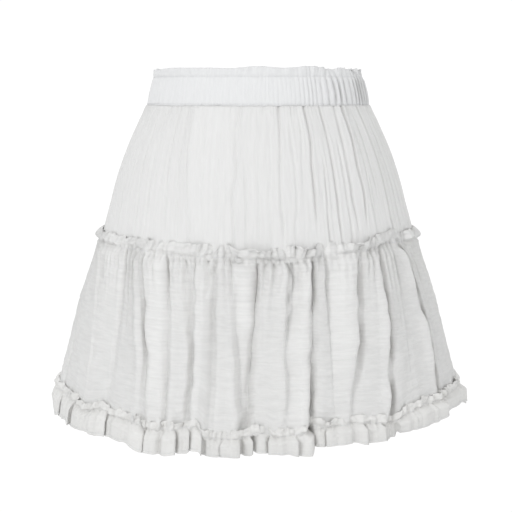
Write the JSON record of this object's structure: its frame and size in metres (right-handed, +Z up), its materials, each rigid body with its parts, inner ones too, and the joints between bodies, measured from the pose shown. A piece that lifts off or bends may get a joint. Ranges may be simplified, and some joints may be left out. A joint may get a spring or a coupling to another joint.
{
  "type": "tiered ruffle skirt",
  "caption": "Short tiered ruffle skirt in crinkled cotton gauze with an elastic waist, two gathered tiers and a hem flounce, hollow in the shape that it has when worn.",
  "frame": {"origin": "on the skirt's axis at the middle height of the elastic waistband, where the skirt is held", "axes": "+Z up through the waist opening, -Y towards the front of the skirt, +X towards the wearer's left side seam"},
  "size_m": [0.4506, 0.3542, 0.3711],
  "materials": {
    "gauze": "matt crinkled cotton gauze, white"
  },
  "bodies": {
    "root": {"waistband": "gauze", "upper_tier_front": "gauze", "upper_tier_back": "gauze", "lower_tier_front": "gauze", "lower_tier_back": "gauze", "hem_flounce_front": "gauze", "hem_flounce_back": "gauze"}
  },
  "joints": []
}
